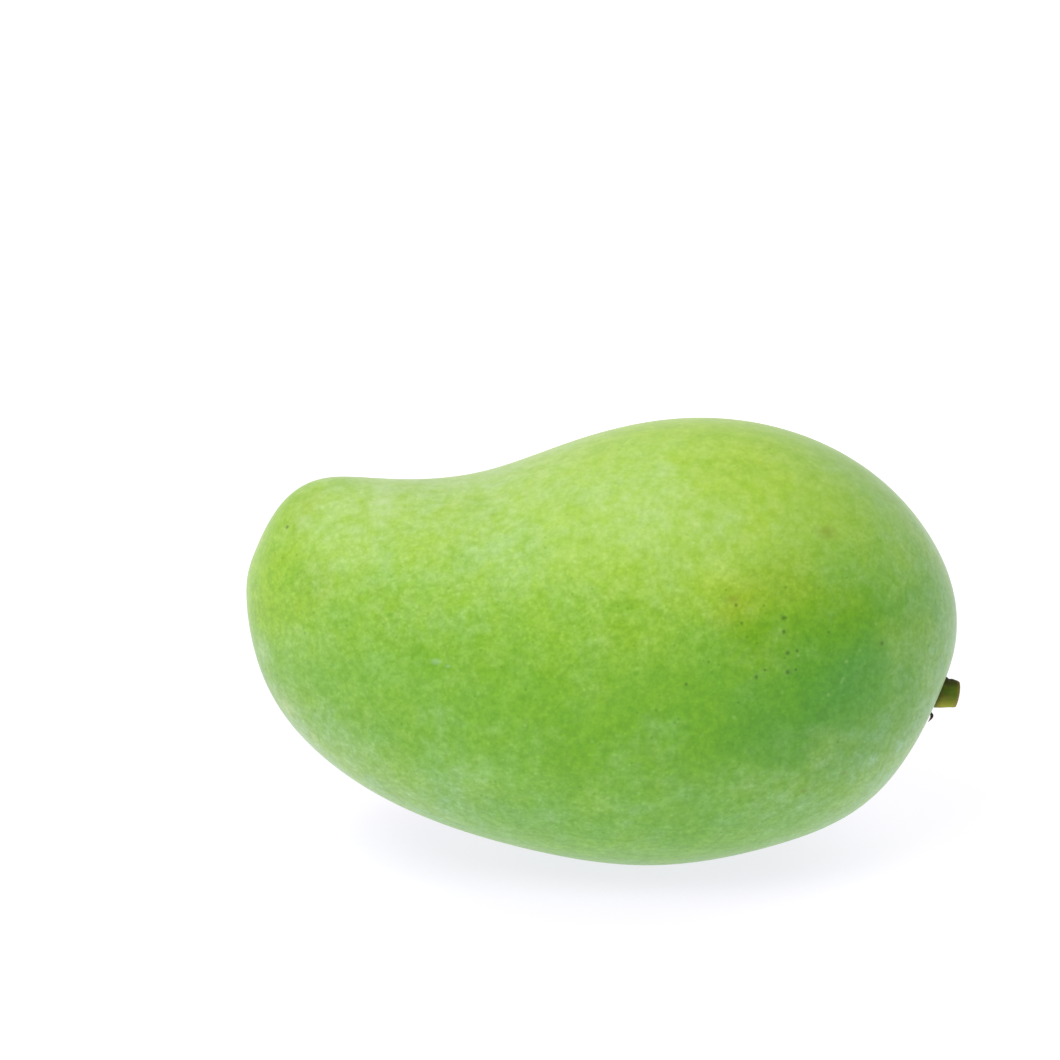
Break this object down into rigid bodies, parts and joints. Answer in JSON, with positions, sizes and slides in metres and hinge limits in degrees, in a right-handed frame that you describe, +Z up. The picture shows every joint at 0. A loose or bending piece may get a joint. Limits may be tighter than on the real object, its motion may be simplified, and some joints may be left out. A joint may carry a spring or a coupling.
{
  "type": "green mango",
  "caption": "Whole unripe green mango with a hooked beak, a short cut stalk and a dry calyx remnant, resting on its broad back edge.",
  "frame": {"origin": "on the surface that the fruit rests on, under the middle of its bounding box", "axes": "+X along the fruit from its tip to its stalk, +Y across its thickness, +Z up through the beak side"},
  "size_m": [0.1366, 0.0728, 0.0852],
  "materials": {
    "skin": "satin waxy fruit skin, yellow-green to blue-green, with a pale bloom and fine pale dots",
    "stalk": "matte olive green bark with a brown cut end",
    "calyx": "matte, dry and dark brown"
  },
  "bodies": {
    "root": {"fruit": "skin", "stalk": "stalk", "calyx_remnant": "calyx"}
  },
  "joints": []
}
